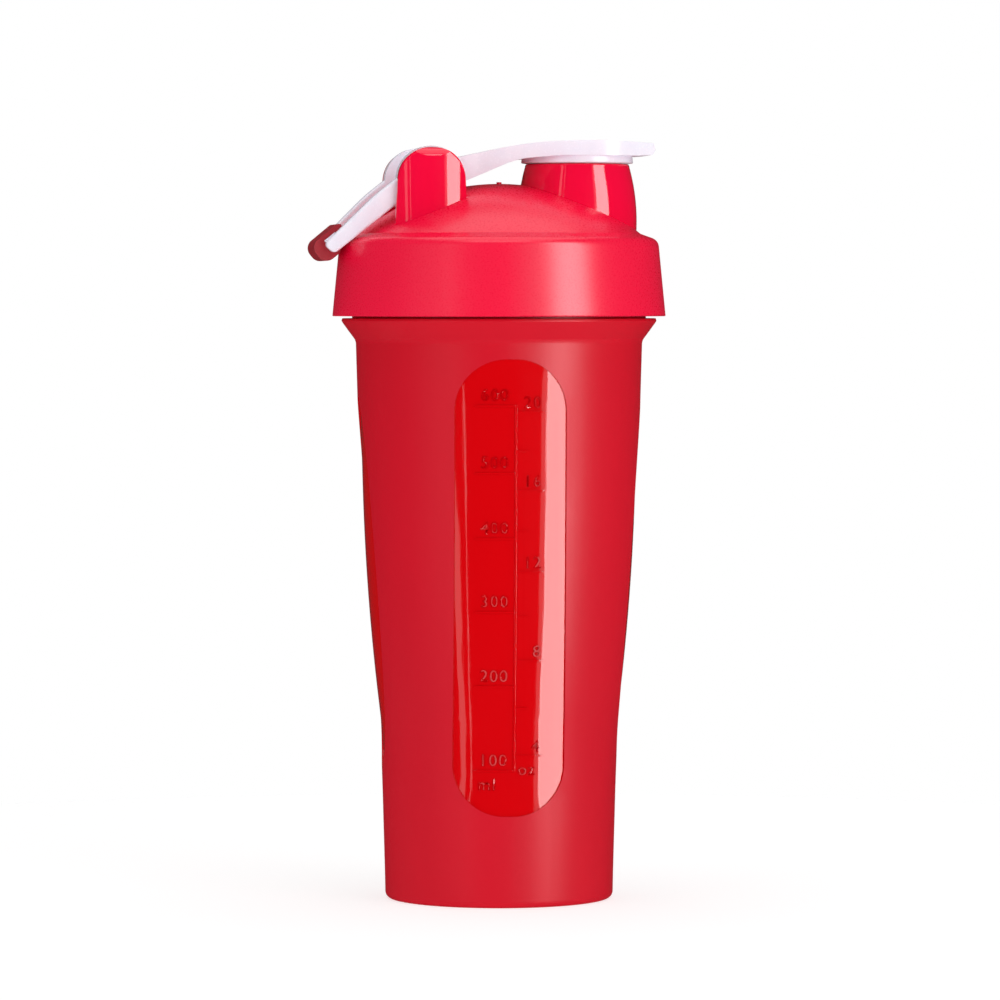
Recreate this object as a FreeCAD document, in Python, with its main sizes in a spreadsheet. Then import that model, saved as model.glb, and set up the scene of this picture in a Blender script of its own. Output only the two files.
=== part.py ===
import FreeCAD, Part
import math
import os
import re
import Sketcher

# Shaker bottle in millimetres and degrees. Frame: origin at the middle of the base ring,
# +Z up the cup's axis, +X towards the spout. The sheet holds every driving size.

os.makedirs("parts", exist_ok=True)
doc = FreeCAD.newDocument("ShakerBottle")
sheet = doc.addObject("Spreadsheet::Sheet", "Sizes")

DRIVING = {
    # cup: slim foot for a cup holder, flaring to a wide shoulder, each radius set in from the one above
    "shoulderHeight": 165.6,
    "shoulderRadius": 42.5,
    "shoulderRound": 3.0,
    "bellyHeight": 90.0,
    "bellyInset": 2.15,
    "bellyRound": 700.0,
    "waistHeight": 46.0,
    "waistInset": 5.3,
    "waistRound": 170.0,
    "footInset": 1.25,
    "footRound": 2.0,
    "footRingWidth": 4.5,
    "footRecess": 6.5,
    "cupWall": 1.8,
    "floorThick": 2.5,
    "floorRound": 8.0,
    # collar and neck, under the lid
    "collarRise": 6.7,
    "collarThick": 1.7,
    "collarInset": 2.7,
    "collarFlare": 0.6,
    "collarRound": 1.0,
    "collarBevel": 0.8,
    "neckOffset": 1.1,
    "neckWall": 2.1,
    "neckRise": 19.25,
    "rimRound": 0.7,
    # thread with two starts
    "threadLead": 12.0,
    "threadDepth": 1.8,
    "threadWidth": 2.4,
    "threadCrest": 1.2,
    "threadClear": 0.4,
    "threadFlankClear": 0.3,
    "threadRoot": 0.4,
    "cupThreadLow": 5.5,
    "cupThreadRise": 9.0,
    "lidThreadRise": 6.0,
    # polished window and side grips, turned with the cup when its lid is screwed tight
    "clocking": -2.5,
    "windowHalf": 16.4,
    "windowLow": 27.0,
    "windowTopGap": 5.1,
    "windowRound": 15.0,
    "windowRecess": 0.4,
    "sideGripLow": 38.5,
    "sideGripTopGap": 16.1,
    "sideGripHalf": 14.2,
    "sideGripRecess": 0.8,
    # lid shell
    "lidGap": 0.6,
    "skirtWall": 1.45,
    "skirtFlare": 2.2,
    "skirtMouth": 1.9,
    "skirtMouthRise": 1.6,
    "skirtMouthLand": 0.8,
    "lidRound": 3.0,
    "shoulderWall": 2.2,
    "creaseInset": 3.8,
    "creaseRise": 1.9,
    "domeRise": 14.8,
    "domeWall": 2.2,
    "nubRadius": 0.75,
    "nubRise": 0.5,
    "plugClear": 0.3,
    "plugWall": 1.8,
    "plugDepth": 6.0,
    "plugRound": 0.5,
    "gasketThick": 1.6,
    "gasketClear": 0.05,
    "gasketWidth": 3.6,
    "seatGap": 0.05,
    # spout
    "spoutInset": 1.4,
    "spoutRise": 20.7,
    "spoutRadius": 15.5,
    "spoutSwell": 1.7,
    "spoutBarrel": 60.0,
    "spoutWall": 2.1,
    "spoutLip": 0.8,
    # hinge line and ears, which are crowned outwards and rounded over at the top
    "pivotInset": 19.5,
    "hingeClear": 0.69,
    "pinRadius": 2.0,
    "pinBlind": 1.6,
    "pinEndClear": 0.1,
    "runningFit": 0.05,
    "sideClear": 0.3,
    "earRadius": 9.5,
    "earSpread": 1.4,
    "earRoot": 0.9,
    "earEdge": 1.2,
    "earBulge": 3.9,
    "earCrown": 4.0,
    "earRound": 0.6,
    # flip cap: a disc over the spout, under a wide arched arm that ends in a thumb tab
    "capOverhang": 1.15,
    "capDraft": 0.3,
    "capLift": 0.2,
    "capThick": 2.4,
    "capRim": 1.25,
    "barrelWall": 2.0,
    "hubHalf": 13.5,
    "armOverlap": 0.3,
    "armFoot": 5.0,
    "armHeel": 4.5,
    "heelRun": 10.9,
    "heelRise": 7.3,
    "heelRound": 20.0,
    "toeRun": 12.6,
    "toeRise": 0.5,
    "toeRound": 12.0,
    "bridgeInset": 2.9,
    "bridgeDrop": 1.3,
    "bridgeRound": 24.0,
    "archRise": 4.4,
    "archAhead": 3.3,
    "archRound": 180.0,
    "archBehind": 16.8,
    "archDrop": 0.9,
    "archHeelRound": 100.0,
    "neckHalf": 12.6,
    "neckRun": 16.0,
    "neckPlanRound": 12.0,
    "plateOverhang": 0.3,
    "plateBehind": 7.0,
    "plateAhead": 8.0,
    "plateRound": 14.0,
    "tabHalf": 8.0,
    "tabReach": 5.6,
    "tabThick": 3.2,
    "tabRise": 0.3,
    "tabRound": 4.0,
    "tabTipRound": 0.6,
    "sealThick": 1.0,
    "sealClear": 0.05,
    "sealCore": 0.6,
    "sealPlugClear": 0.4,
    "sealPlugTaper": 0.4,
    "sealPlugDepth": 2.4,
    "sealPlugWall": 1.8,
    "sealRound": 0.4,
    # carry loop: two legs, which run from half-round eyes to a cross bar, and a soft grip on the bar
    "legThick": 5.9,
    "legOffset": 0.6,
    "legArch": 0.4,
    "legArchRun": 15.0,
    "legArchRound": 60.0,
    "legTipDrop": 1.6,
    "legTipBack": 0.7,
    "legTipRound": 1.5,
    "legWidth": 4.6,
    "legReach": 5.7,
    "legTaper": 3.8,
    "legBend": 30.0,
    "legRound": 0.8,
    "loopLean": 3.9,
    "eyeRadius": 10.0,
    "eyeCoreWall": 3.2,
    "eyeChord": 0.7,
    "eyeTurn": 71.0,
    "barThick": 4.0,
    "barInset": 1.0,
    "barTenon": 1.5,
    "gripLength": 11.0,
    "gripBeyond": 3.2,
    "gripDrop": 3.75,
    "gripThick": 7.1,
    "gripRound": 3.0,
    "gripSlope": 3.7,
    "gripBelly": 3.5,
    "gripNose": 1.0,
    "gripEndRound": 0.6,
    # whisk ball
    "ballRadius": 20.0,
    "ballWire": 1.8,
    "ballTurns": 9,
    "ballPole": 10.0,
    "ballLift": 0.05,
    # small edge round, and how far a cutting body runs past what it cuts
    "edgeRound": 0.3,
    "spare": 1.0,
    "skinReach": 20.0,
}

DERIVED = {
    # cup
    "bellyRadius": "shoulderRadius - bellyInset",
    "waistRadius": "bellyRadius - waistInset",
    "footRadius": "waistRadius - footInset",
    "floorHeight": "footRecess + floorThick",
    "collarHeight": "shoulderHeight + collarRise",
    "neckRadius": "shoulderRadius + neckOffset",
    "neckInner": "neckRadius - neckWall",
    "rimHeight": "collarHeight + neckRise",
    "cutterRadius": "bellyRadius + skinReach",
    "windowTop": "shoulderHeight - windowTopGap",
    "sideGripTop": "shoulderHeight - sideGripTopGap",
    # lid, from the neck outwards
    "lidBore": "neckRadius + threadDepth + threadClear",
    "skirtTopRadius": "lidBore + skirtWall",
    "skirtRadius": "skirtTopRadius + skirtFlare",
    "collarRadius": "skirtRadius - collarInset",
    "lidBase": "collarHeight + lidGap",
    "gasketBase": "rimHeight + seatGap",
    "gasketInner": "plugOuter + gasketClear",
    "ceiling": "gasketBase + gasketThick",
    "shoulderTop": "ceiling + shoulderWall",
    "creaseHeight": "shoulderTop + creaseRise",
    "creaseRadius": "lidBore - creaseInset",
    "domeRadius": "(creaseRadius ^ 2 + domeRise ^ 2) / (2 * domeRise)",
    "domeTop": "creaseHeight + domeRise",
    "domeMiddle": "domeTop - domeRadius",
    "plugOuter": "neckInner - plugClear",
    "plugInner": "plugOuter - plugWall",
    "plugLow": "ceiling - plugDepth",
    "innerDome": "domeRadius - domeWall",
    # the lid's ridges run just under the cup's, which pulls the lid down
    "threadSlope": "(threadWidth - threadCrest) / 2 / (threadDepth + threadRoot)",
    "threadOverlap": "threadDepth + threadClear + 2 * threadRoot",
    "threadDrop": "threadWidth - threadSlope * threadOverlap + threadFlankClear",
    # spout
    "spoutTop": "creaseHeight + spoutRise",
    "spoutFoot": "spoutRadius + spoutSwell",
    "spoutReach": "creaseRadius - spoutFoot - spoutInset",
    "spoutBore": "spoutRadius - spoutWall",
    # hinge line, from the middle of the lid outwards
    "pivotBack": "creaseRadius - pivotInset",
    "barrelRadius": "pinRadius + barrelWall",
    "pivotHeight": "domeMiddle + sqrt(domeRadius ^ 2 - pivotBack ^ 2) + barrelRadius + hingeClear",
    "pinHole": "pinRadius + runningFit",
    "eyeInner": "hubHalf + sideClear",
    "eyeOuter": "eyeInner + legWidth",
    "earInner": "eyeOuter + sideClear",
    "earSink": "pivotHeight - creaseHeight + earRoot",
    "earHalf": "earRadius + earSpread + spare / 2",
    "earOuter": "earInner + earEdge + earBulge",
    "pinHalf": "earInner + pinBlind",
    # cap
    "capRadius": "spoutRadius + capOverhang",
    "capBase": "spoutTop + capLift",
    "capTop": "capBase + capThick",
    "capRecess": "capRadius - capRim",
    "sealFloor": "spoutTop + seatGap",
    "sealTop": "sealFloor + sealThick",
    "sealPlugOuter": "spoutBore - sealPlugClear",
    "sealPlugInner": "sealPlugOuter - sealPlugWall",
    "armBack": "0 - pivotBack - barrelRadius",
    "plateHalf": "capRadius + plateOverhang",
    "tabEnd": "spoutReach + capRadius + tabReach",
    # loop: its legs run from the hinge line out over the lid's shoulder
    "shoulderRun": "skirtTopRadius - pivotBack",
    "shoulderDrop": "pivotHeight - shoulderTop",
    "loopDip": "atan2(shoulderDrop; shoulderRun) / 1deg + loopLean",
    "loopReach": "sqrt(shoulderRun ^ 2 + shoulderDrop ^ 2) + legReach",
    "eyeCore": "pinRadius + eyeCoreWall",
    "legRoot": "eyeRadius - spare",
    "legTop": "legOffset + legThick",
    "legPinch": "legTaper / (loopReach - legRoot)",
    "barMiddle": "legOffset + legThick / 2",
    "barEnd": "loopReach - barInset",
    "gripEnd": "loopReach + gripBeyond",
    "gripStart": "gripEnd - gripLength",
    "gripLow": "barMiddle - gripDrop",
    "gripTop": "gripLow + gripThick",
    "gripHalf": "eyeInner - legTaper",
    "gripWide": "gripHalf + legPinch * (loopReach - gripStart + spare)",
    # ball resting on the cup's floor
    "ballWireRadius": "ballRadius - ballWire / 2",
    "ballMiddle": "floorHeight + ballLift + ballRadius",
}

ALIASES = set(DRIVING) | set(DERIVED)
for row, (alias, number) in enumerate(DRIVING.items(), start=1):
    sheet.set("A%d" % row, alias)
    sheet.set("B%d" % row, str(number))
    sheet.setAlias("B%d" % row, alias)
for row, (alias, formula) in enumerate(DERIVED.items(), start=1):
    sheet.set("C%d" % row, alias)
    sheet.set("D%d" % row, "=" + formula)
    sheet.setAlias("D%d" % row, alias)
doc.recompute()


def size(alias):
    return float(sheet.get(alias))


def bound(formula):
    """A formula in the sheet's names, as an expression for setExpression."""
    return re.sub(r"[A-Za-z]\w*", lambda word: "Sizes." + word[0] if word[0] in ALIASES else word[0], formula)


def measured(formula):
    """The number a formula comes to: a sketch starts from it before its constraints hold it."""
    sheet.set("F1", "=" + formula)
    sheet.recompute()
    return float(sheet.get("F1"))


def sketchOn(body, role):
    sketch = body.newObject("Sketcher::SketchObject", body.Name + "Sketch")
    planes = [plane for plane in body.Origin.OriginFeatures if plane.Role == role]
    sketch.AttachmentSupport = [(planes[0], "")]
    sketch.MapMode = "FlatFace"
    return sketch


def pinPoint(sketch, geometry, end, across, up):
    for kind, formula in (("DistanceX", across), ("DistanceY", up)):
        index = sketch.addConstraint(Sketcher.Constraint(kind, -1, 1, geometry, end, measured(formula)))
        sketch.setExpression("Constraints[%d]" % index, bound(formula))


def holdRadius(sketch, geometry, formula):
    index = sketch.addConstraint(Sketcher.Constraint("Radius", geometry, measured(formula)))
    sketch.setExpression("Constraints[%d]" % index, bound(formula))


def arcThrough(start, end, radius):
    """Arc from start to end with the given radius, counter-clockwise, shorter way round."""
    middle = (start + end) * 0.5
    chord = end - start
    reach = math.sqrt(radius ** 2 - (chord.Length / 2) ** 2)
    centre = middle + FreeCAD.Vector(-chord.y, chord.x, 0).normalize() * reach
    first = math.atan2(start.y - centre.y, start.x - centre.x)
    last = math.atan2(end.y - centre.y, end.x - centre.x)
    return Part.ArcOfCircle(Part.Circle(centre, FreeCAD.Vector(0, 0, 1), radius), first, last)


def outline(sketch, corners):
    """Closed counter-clockwise outline. A corner is (across, up), (across, up, round) or
    (across, up, None, bulge), where bulge is the radius of an arc that runs to the next corner."""
    count = len(corners)
    points = [FreeCAD.Vector(measured(corner[0]), measured(corner[1]), 0) for corner in corners]
    begins = list(points)
    ends = list(points)
    rounds = {}
    for i, corner in enumerate(corners):
        if len(corner) == 3:
            radius = measured(corner[2])
            back = (points[i - 1] - points[i]).normalize()
            ahead = (points[(i + 1) % count] - points[i]).normalize()
            reach = radius / math.tan(back.getAngle(ahead) / 2)
            begins[i] = points[i] + ahead * reach
            ends[i] = points[i] + back * reach
            rounds[i] = radius
    edges = []
    for i, corner in enumerate(corners):
        start = begins[i]
        end = ends[(i + 1) % count]
        if len(corner) == 4:
            edges.append(sketch.addGeometry(arcThrough(start, end, measured(corner[3]))))
            holdRadius(sketch, edges[i], corner[3])
        else:
            edges.append(sketch.addGeometry(Part.LineSegment(start, end)))
    for i, corner in enumerate(corners):
        before = edges[i - 1]
        after = edges[i]
        if i in rounds:
            turnsLeft = (points[i] - points[i - 1]).cross(points[(i + 1) % count] - points[i]).z > 0
            if turnsLeft:
                arc = sketch.addGeometry(arcThrough(ends[i], begins[i], rounds[i]))
                into, out = 1, 2
            else:
                arc = sketch.addGeometry(arcThrough(begins[i], ends[i], rounds[i]))
                into, out = 2, 1
            mark = sketch.addGeometry(Part.Point(points[i]), True)
            pinPoint(sketch, mark, 1, corner[0], corner[1])
            sketch.addConstraint(Sketcher.Constraint("Tangent", before, 2, arc, into))
            sketch.addConstraint(Sketcher.Constraint("Tangent", arc, out, after, 1))
            sketch.addConstraint(Sketcher.Constraint("PointOnObject", mark, 1, before))
            sketch.addConstraint(Sketcher.Constraint("PointOnObject", mark, 1, after))
            holdRadius(sketch, arc, corner[2])
        else:
            sketch.addConstraint(Sketcher.Constraint("Coincident", before, 2, after, 1))
            pinPoint(sketch, after, 1, corner[0], corner[1])


def place(thing, across="0", along="0", up="0", axis=(0, 0, 1), turn=None):
    thing.Placement = FreeCAD.Placement(FreeCAD.Vector(), FreeCAD.Rotation(FreeCAD.Vector(*axis), 0))
    for name, formula in (("Base.x", across), ("Base.y", along), ("Base.z", up)):
        if formula != "0":
            thing.setExpression("Placement." + name, bound(formula))
    if turn:
        thing.Placement = FreeCAD.Placement(FreeCAD.Vector(), FreeCAD.Rotation(FreeCAD.Vector(*axis), 1))
        thing.setExpression("Placement.Rotation.Angle", bound(turn))
    return thing


def revolved(name, corners, across="0"):
    """Body turned about a vertical axis that stands at the given X."""
    body = doc.addObject("PartDesign::Body", name)
    sketch = sketchOn(body, "XZ_Plane")
    outline(sketch, corners)
    turn = body.newObject("PartDesign::Revolution", name + "Turn")
    turn.Profile = sketch
    turn.ReferenceAxis = (sketch, ["V_Axis"])
    turn.Angle = 360
    return place(body, across)


def padded(name, role, corners, start, length):
    """Body of one flat outline, from start for a length along the sketch's normal."""
    body = doc.addObject("PartDesign::Body", name)
    sketch = sketchOn(body, role)
    outline(sketch, corners)
    sketch.setExpression("AttachmentOffset.Base.z", bound(start))
    pad = body.newObject("PartDesign::Pad", name + "Pad")
    pad.Profile = sketch
    pad.setExpression("Length", bound(length))
    return body


def cylinder(name, radius, height, axis=(0, 0, 1), across="0", along="0", up="0"):
    rod = doc.addObject("Part::Cylinder", name)
    rod.setExpression("Radius", bound(radius))
    rod.setExpression("Height", bound(height))
    rotation = FreeCAD.Rotation(FreeCAD.Vector(0, 0, 1), FreeCAD.Vector(*axis))
    rod.Placement = FreeCAD.Placement(FreeCAD.Vector(), rotation)
    for direction, formula in (("x", across), ("y", along), ("z", up)):
        if formula != "0":
            rod.setExpression("Placement.Base." + direction, bound(formula))
    return rod


def fused(name, shapes):
    joined = doc.addObject("Part::MultiFuse", name)
    joined.Shapes = shapes
    joined.Refine = True
    return joined


def common(name, first, second):
    shared = doc.addObject("Part::MultiCommon", name)
    shared.Shapes = [first, second]
    return shared


def cut(name, base, tool):
    rest = doc.addObject("Part::Cut", name)
    rest.Base = base
    rest.Tool = tool
    return rest


def filleted(name, base, radius, chosen):
    """Rounds the edges of base that the function chosen picks."""
    doc.recompute()
    rounded = doc.addObject("Part::Fillet", name)
    rounded.Base = base
    edges = base.Shape.Edges
    rounded.Edges = [(i + 1, size(radius), size(radius)) for i, edge in enumerate(edges) if chosen(edge)]
    return rounded


def threaded(name, root, crest, low, rise):
    """Two helical ridges between the radii root and crest, climbing anticlockwise."""
    body = doc.addObject("PartDesign::Body", name)
    sketch = sketchOn(body, "XZ_Plane")
    corners = [
        (root, low + " - threadWidth / 2"),
        (crest, low + " - threadCrest / 2"),
        (crest, low + " + threadCrest / 2"),
        (root, low + " + threadWidth / 2"),
    ]
    if measured(crest) < measured(root):
        corners.reverse()
    outline(sketch, corners)
    ridge = body.newObject("PartDesign::AdditiveHelix", name + "Ridge")
    ridge.Profile = sketch
    ridge.ReferenceAxis = (sketch, ["V_Axis"])
    ridge.Mode = "pitch-height-angle"
    ridge.setExpression("Pitch", "Sizes.threadLead")
    ridge.setExpression("Height", bound(rise))
    doc.recompute()
    starts = body.newObject("PartDesign::PolarPattern", name + "Starts")
    starts.Originals = [ridge]
    starts.Axis = (sketch, ["V_Axis"])
    starts.Angle = 360
    starts.Occurrences = 2
    body.Tip = starts
    return body


nodes = []


def node(name, thing):
    """Names the finished sub-part, which is exported under that name."""
    thing.Label = name
    nodes.append(thing)


def skinBeyond(name, recess):
    """Everything outside the cup's wall moved in by the recess, up to the shoulder."""
    return revolved(name, [
        ("cutterRadius", "0"),
        ("cutterRadius", "shoulderHeight"),
        ("shoulderRadius - " + recess, "shoulderHeight"),
        ("bellyRadius - " + recess, "bellyHeight", "bellyRound - " + recess),
        ("waistRadius - " + recess, "waistHeight", "waistRound + " + recess),
        ("footRadius - " + recess, "0"),
    ])


def makeCup():
    shell = revolved("CupShell", [
        ("0", "footRecess"),
        ("footRadius - footRingWidth", "footRecess", "footRound"),
        ("footRadius - footRingWidth", "0"),
        ("footRadius", "0", "footRound"),
        ("waistRadius", "waistHeight", "waistRound"),
        ("bellyRadius", "bellyHeight", "bellyRound"),
        ("shoulderRadius", "shoulderHeight", "shoulderRound"),
        ("collarRadius - collarFlare", "collarHeight - collarThick", "collarRound"),
        ("collarRadius", "collarHeight - collarBevel", "edgeRound"),
        ("collarRadius - collarBevel / 4", "collarHeight", "edgeRound"),
        ("neckRadius", "collarHeight"),
        ("neckRadius", "rimHeight", "rimRound"),
        ("neckInner", "rimHeight", "rimRound"),
        ("neckInner", "collarHeight"),
        ("shoulderRadius - cupWall", "shoulderHeight"),
        ("bellyRadius - cupWall", "bellyHeight", "bellyRound - cupWall"),
        ("waistRadius - cupWall", "waistHeight", "waistRound + cupWall"),
        ("footRadius - cupWall", "floorHeight", "floorRound"),
        ("0", "floorHeight"),
    ])
    thread = threaded("CupThread", "neckRadius - threadRoot", "neckRadius + threadDepth",
                      "collarHeight + cupThreadLow", "cupThreadRise")
    bottle = fused("CupWithThread", [shell, thread])
    pane = padded("WindowPane", "XZ_Plane", [
        ("0 - windowHalf", "windowLow", "windowRound"),
        ("windowHalf", "windowLow", "windowRound"),
        ("windowHalf", "windowTop", "windowRound"),
        ("0 - windowHalf", "windowTop", "windowRound"),
    ], "0", "cutterRadius")
    place(pane, turn="clocking")
    window = common("Window", skinBeyond("WindowSkin", "windowRecess"), pane)
    ellipse = doc.addObject("Part::Ellipse", "SideGripEllipse")
    ellipse.setExpression("MajorRadius", bound("(sideGripTop - sideGripLow) / 2"))
    ellipse.setExpression("MinorRadius", bound("sideGripHalf"))
    along, aside, outwards = FreeCAD.Vector(0, 0, 1), FreeCAD.Vector(0, 1, 0), FreeCAD.Vector(1, 0, 0)
    ellipse.Placement = FreeCAD.Placement(FreeCAD.Vector(), FreeCAD.Rotation(along, aside, outwards, "ZYX"))
    ellipse.setExpression("Placement.Base.z", bound("(sideGripTop + sideGripLow) / 2"))
    tunnel = doc.addObject("Part::Extrusion", "SideGripTunnel")
    tunnel.Base = ellipse
    tunnel.DirMode = "Custom"
    tunnel.Dir = FreeCAD.Vector(1, 0, 0)
    tunnel.Solid = True
    tunnel.setExpression("LengthFwd", bound("cutterRadius"))
    tunnel.setExpression("LengthRev", bound("cutterRadius"))
    place(tunnel, turn="clocking")
    grips = common("SideGrips", skinBeyond("SideGripSkin", "sideGripRecess"), tunnel)
    node("cup", cut("CupBody", cut("CupWithWindow", bottle, window), grips))


def makeEars():
    """A plate on each side of the hinge line: the profile seen from the side, its top edge rounded
    over, is cut to a plan that bulges outwards."""
    face = padded("EarFace", "XZ_Plane", [
        ("0 - earRadius - earSpread", "0 - earSink"),
        ("earRadius + earSpread", "0 - earSink"),
        ("earRadius", "earRadius", "earRadius"),
        ("0 - earRadius", "earRadius", "earRadius"),
    ], "0 - earOuter - spare", "2 * (earOuter + spare)")
    crown = padded("EarCrown", "YZ_Plane", [
        ("0 - earOuter - spare / 5", "0 - earSink - spare"),
        ("earOuter + spare / 5", "0 - earSink - spare"),
        ("earOuter + spare / 5", "earRadius", "earCrown"),
        ("0 - earOuter - spare / 5", "earRadius", "earCrown"),
    ], "0 - earHalf - spare", "2 * (earHalf + spare)")
    profile = common("EarProfile", face, crown)
    ears = []
    for side, sign in (("Near", "0 - "), ("Far", "")):
        inner = sign + "earInner"
        edge = sign + "(earInner + earEdge)"
        bulge = "(earHalf ^ 2 + earBulge ^ 2) / (2 * earBulge)"
        corners = [("0 - earHalf", edge, None, bulge), ("earHalf", edge), ("earHalf", inner),
                   ("0 - earHalf", inner)]
        if side == "Far":
            corners = [("0 - earHalf", inner), ("earHalf", inner), ("earHalf", edge, None, bulge),
                       ("0 - earHalf", edge)]
        plan = padded(side + "EarPlan", "XY_Plane", corners, "0 - earSink - spare",
                      "earSink + earRadius + 2 * spare")
        ear = common(side + "Ear", profile, plan)
        outside = size("earInner") + size("earEdge") / 2
        middle = size("earRadius") / 2
        rounded = filleted(side + "EarRounded", ear, "earRound",
                           lambda edge: abs(edge.CenterOfMass.y) > outside
                           and edge.CenterOfMass.z < middle and edge.BoundBox.ZLength > 1)
        ears.append(place(rounded, across="0 - pivotBack", up="pivotHeight"))
    return ears


def makeLid():
    solid = revolved("LidSolid", [
        ("0", "lidBase"),
        ("skirtRadius", "lidBase", "edgeRound"),
        ("skirtTopRadius", "shoulderTop", "lidRound"),
        ("creaseRadius", "creaseHeight", None, "domeRadius"),
        ("nubRadius", "domeMiddle + sqrt(domeRadius ^ 2 - nubRadius ^ 2)"),
        ("nubRadius", "domeTop + nubRise"),
        ("0", "domeTop + nubRise"),
    ])
    spout = revolved("SpoutWall", [
        ("0", "ceiling"),
        ("spoutFoot", "ceiling", None, "spoutBarrel"),
        ("spoutRadius", "spoutTop - spoutLip", None, "spoutLip"),
        ("spoutRadius - spoutLip", "spoutTop"),
        ("0", "spoutTop"),
    ], "spoutReach")
    shell = fused("LidOuter", [solid, spout] + makeEars())
    cavity = revolved("LidCavity", [
        ("0", "lidBase - spare"),
        ("skirtRadius - skirtMouth", "lidBase - spare"),
        ("skirtRadius - skirtMouth", "lidBase + skirtMouthRise - skirtMouthLand"),
        ("lidBore", "lidBase + skirtMouthRise"),
        ("lidBore", "ceiling"),
        ("plugOuter", "ceiling"),
        ("plugOuter", "plugLow", "plugRound"),
        ("plugInner", "plugLow", "plugRound"),
        ("plugInner", "domeMiddle + sqrt(innerDome ^ 2 - plugInner ^ 2)", None, "innerDome"),
        ("0", "domeMiddle + innerDome"),
    ])
    hollow = cut("LidHollow", shell, cavity)
    thread = threaded("LidThread", "lidBore + threadRoot", "lidBore - threadDepth",
                      "collarHeight + cupThreadLow - threadDrop", "lidThreadRise")
    bore = cylinder("SpoutBore", "spoutBore", "spoutTop - ceiling + 2 * spare", across="spoutReach",
                    up="ceiling - spare")
    pinHole = cylinder("EarPinHole", "pinHole", "2 * pinHalf", (0, -1, 0),
                       "0 - pivotBack", "pinHalf", "pivotHeight")
    drilled = cut("LidDrilled", cut("LidWithBore", hollow, bore), pinHole)
    node("lid", fused("LidBody", [drilled, thread]))


def makeSeals():
    node("lid_gasket", revolved("LidGasket", [
        ("gasketInner", "gasketBase"),
        ("gasketInner + gasketWidth", "gasketBase"),
        ("gasketInner + gasketWidth", "ceiling"),
        ("gasketInner", "ceiling"),
    ]))
    node("spout_seal", revolved("SpoutSeal", [
        ("0", "spoutTop - sealCore"),
        ("sealPlugInner", "spoutTop - sealCore"),
        ("sealPlugInner", "spoutTop - sealPlugDepth"),
        ("sealPlugOuter - sealPlugTaper", "spoutTop - sealPlugDepth", "sealRound"),
        ("sealPlugOuter", "sealFloor"),
        ("capRecess - sealClear", "sealFloor"),
        ("capRecess - sealClear", "sealTop"),
        ("0", "sealTop"),
    ], "spoutReach"))


def makeCap():
    disc = revolved("CapDisc", [
        ("0", "sealTop"),
        ("capRecess", "sealTop"),
        ("capRecess", "capBase"),
        ("capRadius", "capBase", "edgeRound"),
        ("capRadius - capDraft", "capTop"),
        ("0", "capTop"),
    ], "spoutReach")
    side = padded("ArmSide", "XZ_Plane", [
        ("0 - pivotBack", "pivotHeight - barrelRadius"),
        ("toeRun - pivotBack", "pivotHeight + toeRise", "toeRound"),
        ("spoutReach - capRadius - bridgeInset", "capTop - bridgeDrop", "bridgeRound"),
        ("spoutReach - plateBehind", "capTop - armOverlap", "bridgeRound"),
        ("spoutReach + capRadius", "capTop - armOverlap"),
        ("tabEnd - spare", "capTop + tabRise - armOverlap", "edgeRound"),
        ("tabEnd", "capTop + tabRise + tabThick / 3", "tabTipRound"),
        ("tabEnd - spare / 2", "capTop + tabRise + tabThick", "tabTipRound"),
        ("spoutReach + archAhead", "capTop + archRise", "archRound"),
        ("spoutReach - archBehind", "capTop + archRise - archDrop", "archHeelRound"),
        ("heelRun - pivotBack", "pivotHeight + heelRise", "heelRound"),
        ("0 - pivotBack", "pivotHeight + armHeel", "barrelWall"),
        ("armBack", "pivotHeight + barrelWall"),
        ("armBack", "pivotHeight"),
    ], "0 - plateHalf - spare", "2 * (plateHalf + spare)")
    plan = padded("ArmPlan", "XY_Plane", [
        ("0 - pivotBack - armFoot", "0 - hubHalf"),
        ("neckRun / 2 - pivotBack", "0 - hubHalf", "neckPlanRound"),
        ("neckRun - pivotBack", "0 - neckHalf", "neckPlanRound"),
        ("spoutReach - plateBehind", "0 - plateHalf", "plateRound"),
        ("spoutReach + plateAhead", "0 - plateHalf", "plateRound"),
        ("tabEnd + spare", "0 - tabHalf", "tabRound"),
        ("tabEnd + spare", "tabHalf", "tabRound"),
        ("spoutReach + plateAhead", "plateHalf", "plateRound"),
        ("spoutReach - plateBehind", "plateHalf", "plateRound"),
        ("neckRun - pivotBack", "neckHalf", "neckPlanRound"),
        ("neckRun / 2 - pivotBack", "hubHalf", "neckPlanRound"),
        ("0 - pivotBack - armFoot", "hubHalf"),
    ], "pivotHeight - barrelRadius - spare", "capTop + archRise - pivotHeight + barrelRadius + 3 * spare")
    arm = common("Arm", side, plan)
    barrel = cylinder("CapBarrel", "barrelRadius", "2 * hubHalf", (0, -1, 0),
                      "0 - pivotBack", "hubHalf", "pivotHeight")
    white = fused("CapWhole", [disc, arm, barrel])
    hole = cylinder("CapPinHole", "pinHole", "2 * (hubHalf + spare)", (0, -1, 0),
                    "0 - pivotBack", "hubHalf + spare", "pivotHeight")
    node("flip_cap", cut("CapBody", white, hole))


def makePin():
    node("hinge_pin", cylinder("HingePin", "pinRadius", "2 * (pinHalf - pinEndClear)", (0, -1, 0),
                               "0 - pivotBack", "pinHalf - pinEndClear", "pivotHeight"))


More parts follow.
